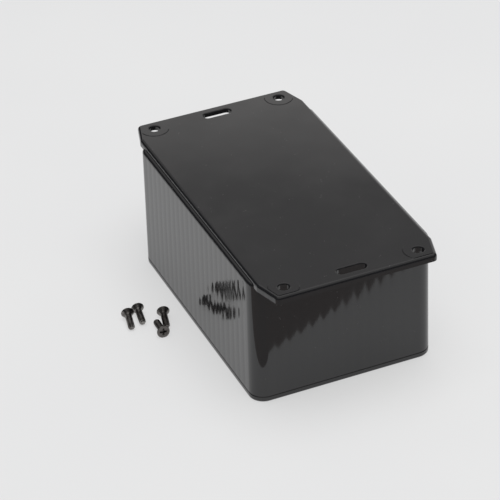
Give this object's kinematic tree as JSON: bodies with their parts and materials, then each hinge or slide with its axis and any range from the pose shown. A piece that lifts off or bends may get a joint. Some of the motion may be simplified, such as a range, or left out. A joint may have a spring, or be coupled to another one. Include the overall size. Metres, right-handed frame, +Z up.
{
  "type": "flanged project box",
  "caption": "Deep black plastic project box with an integral flanged mounting plate, a screwed lid and internal card guides.",
  "frame": {"origin": "centre of the lid's underside, the face that the box stands on", "axes": "+Z up through the closed end to the mounting plate; Y along the box from flange to flange; X across it"},
  "size_m": [0.1067, 0.1456, 0.0584],
  "materials": {
    "shell_plastic": "glossy black ABS",
    "lid_plastic": "glossy black ABS",
    "brass": "machined brass",
    "screw_steel": "dark oiled steel"
  },
  "bodies": {
    "lid_body": {"lid": "lid_plastic", "screw_1": "screw_steel", "screw_2": "screw_steel", "screw_3": "screw_steel", "screw_4": "screw_steel"},
    "shell_body": {"shell": "shell_plastic", "insert_1": "brass", "insert_2": "brass", "insert_3": "brass", "insert_4": "brass"}
  },
  "joints": [
    {"name": "shell_lift", "type": "slide", "parent": "lid_body", "child": "shell_body", "axis": [0, 0, 1], "range_m": [0, 0.08]}
  ]
}
